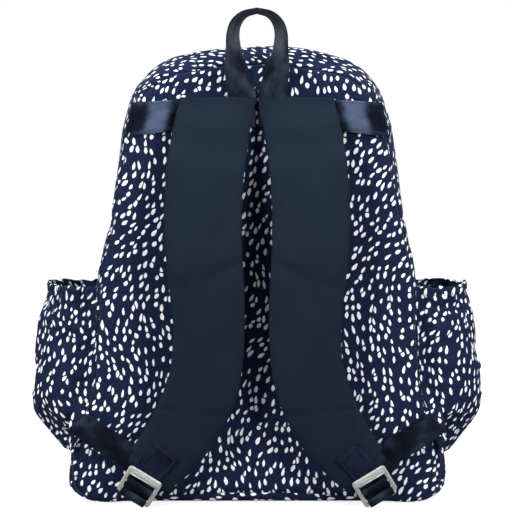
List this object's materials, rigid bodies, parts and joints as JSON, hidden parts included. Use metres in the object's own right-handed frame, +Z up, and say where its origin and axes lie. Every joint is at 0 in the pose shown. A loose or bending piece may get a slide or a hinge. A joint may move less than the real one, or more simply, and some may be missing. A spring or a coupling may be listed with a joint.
{
  "type": "racket backpack",
  "caption": "Dome-topped fabric backpack with padded shoulder straps, side pockets, grab handle and a racket sleeve on the front.",
  "frame": {"origin": "middle of the base, on the plane the bag stands on", "axes": "+Z up, -Y towards the wearer's back (the side with the shoulder straps), +Y towards the racket sleeve, +X across"},
  "size_m": [0.4612, 0.2198, 0.4893],
  "materials": {
    "dabbed_print": "navy woven cloth printed with white dabs",
    "strap_twill": "plain dark navy twill",
    "webbing": "satin navy webbing",
    "binding_tape": "navy grosgrain tape",
    "zip_tape": "navy zip tape with a nylon coil",
    "lining": "grey lining cloth",
    "foam": "soft closed-cell foam",
    "elastic": "flat black elastic",
    "board": "matte",
    "silver_metal": "satin silver plating"
  },
  "bodies": {
    "bag": {"back_panel": "dabbed_print", "back_foam": "foam", "front_panel": "dabbed_print", "gusset_rear_strip": "dabbed_print", "gusset_front_strip": "dabbed_print", "side_gusset_left": "dabbed_print", "side_gusset_right": "dabbed_print", "bottom_panel": "dabbed_print", "base_board": "board", "laptop_divider": "lining", "divider_binding": "binding_tape", "seam_binding_rear": "binding_tape", "seam_binding_front": "binding_tape", "main_zip": "zip_tape", "main_zip_end_tabs": "binding_tape", "racket_sleeve_face": "dabbed_print", "racket_sleeve_rear_strip": "dabbed_print", "racket_sleeve_front_strip": "dabbed_print", "sleeve_zip": "zip_tape", "throat_binding": "binding_tape", "accessory_pocket": "dabbed_print", "accessory_zip": "zip_tape", "side_pocket_left": "dabbed_print", "side_pocket_right": "dabbed_print", "pocket_hem_left": "dabbed_print", "pocket_hem_right": "dabbed_print", "hem_elastics": "elastic", "strap_band_left": "webbing", "strap_band_right": "webbing", "strap_root_left": "strap_twill", "strap_root_right": "strap_twill", "handle_tails": "webbing", "anchor_wing_left": "dabbed_print", "anchor_wing_right": "dabbed_print"},
    "strap_left": {"strap_face_left": "strap_twill", "strap_foam_left": "foam", "strap_lining_left": "webbing", "buckle_tab_left": "webbing", "adjuster_webbing_left": "webbing"},
    "buckle_left": {"buckle_left": "silver_metal", "webbing_bight_left": "webbing"},
    "main_slider_left": {"main_slider_left": "silver_metal"},
    "main_pull_left": {"main_pull_left": "silver_metal"},
    "sleeve_slider_left": {"sleeve_slider_left": "silver_metal"},
    "sleeve_pull_left": {"sleeve_pull_left": "silver_metal"},
    "strap_right": {"strap_face_right": "strap_twill", "strap_foam_right": "foam", "strap_lining_right": "webbing", "buckle_tab_right": "webbing", "adjuster_webbing_right": "webbing"},
    "buckle_right": {"buckle_right": "silver_metal", "webbing_bight_right": "webbing"},
    "main_slider_right": {"main_slider_right": "silver_metal"},
    "main_pull_right": {"main_pull_right": "silver_metal"},
    "sleeve_slider_right": {"sleeve_slider_right": "silver_metal"},
    "sleeve_pull_right": {"sleeve_pull_right": "silver_metal"},
    "grab_handle": {"grab_handle": "webbing"},
    "accessory_slider": {"accessory_slider": "silver_metal"},
    "accessory_pull": {"accessory_pull": "silver_metal"}
  },
  "joints": [
    {"name": "strap_left_swing", "type": "hinge", "parent": "bag", "child": "strap_left", "pos_m": [-0.182, -0.0692, 0.074], "axis": [-0.3505, 0, -0.9366], "range_deg": [0, 60]},
    {"name": "buckle_left_tilt", "type": "hinge", "parent": "strap_left", "child": "buckle_left", "pos_m": [-0.1079, -0.0944, 0.0335], "axis": [-0.8541, 0, 0.5201], "range_deg": [0, 35]},
    {"name": "strap_right_swing", "type": "hinge", "parent": "bag", "child": "strap_right", "pos_m": [0.182, -0.0692, 0.074], "axis": [-0.3505, 0, 0.9366], "range_deg": [0, 60]},
    {"name": "buckle_right_tilt", "type": "hinge", "parent": "strap_right", "child": "buckle_right", "pos_m": [0.1079, -0.0944, 0.0335], "axis": [-0.8541, 0, -0.5201], "range_deg": [0, 35]},
    {"name": "grab_handle_fold", "type": "hinge", "parent": "bag", "child": "grab_handle", "pos_m": [0, -0.06895, 0.401], "axis": [1, 0, 0], "range_deg": [0, 60], "stiffness_Nm_per_rad": 0.05},
    {"name": "main_slider_left_travel", "type": "hinge", "parent": "bag", "child": "main_slider_left", "pos_m": [0, 0.02626, 0.1592], "axis": [0, -1, 0], "range_deg": [0, 12]},
    {"name": "main_pull_left_flip", "type": "hinge", "parent": "main_slider_left", "child": "main_pull_left", "pos_m": [-0.01455, 0.02626, 0.44664], "axis": [0, 1, 0], "range_deg": [0, 100]},
    {"name": "main_slider_right_travel", "type": "hinge", "parent": "bag", "child": "main_slider_right", "pos_m": [0, 0.02626, 0.1592], "axis": [0, 1, 0], "range_deg": [0, 12]},
    {"name": "main_pull_right_flip", "type": "hinge", "parent": "main_slider_right", "child": "main_pull_right", "pos_m": [0.01455, 0.02626, 0.44664], "axis": [0, -1, 0], "range_deg": [0, 100]},
    {"name": "sleeve_slider_left_travel", "type": "hinge", "parent": "bag", "child": "sleeve_slider_left", "pos_m": [0, 0.0761, 0.14148], "axis": [0, -1, 0], "range_deg": [0, 4]},
    {"name": "sleeve_pull_left_flip", "type": "hinge", "parent": "sleeve_slider_left", "child": "sleeve_pull_left", "pos_m": [-0.05352, 0.0761, 0.40369], "axis": [0, 1, 0], "range_deg": [0, 150]},
    {"name": "sleeve_slider_right_travel", "type": "hinge", "parent": "bag", "child": "sleeve_slider_right", "pos_m": [0, 0.0761, 0.14148], "axis": [0, 1, 0], "range_deg": [0, 4]},
    {"name": "sleeve_pull_right_flip", "type": "hinge", "parent": "sleeve_slider_right", "child": "sleeve_pull_right", "pos_m": [0.05352, 0.0761, 0.40369], "axis": [0, -1, 0], "range_deg": [0, 150]},
    {"name": "accessory_slider_travel", "type": "slide", "parent": "bag", "child": "accessory_slider", "axis": [1, 0, 0], "range_m": [0, 0.155]},
    {"name": "accessory_pull_flip", "type": "hinge", "parent": "accessory_slider", "child": "accessory_pull", "pos_m": [-0.0755, 0.1076, 0.1795], "axis": [0, 0, 1], "range_deg": [0, 150]}
  ]
}
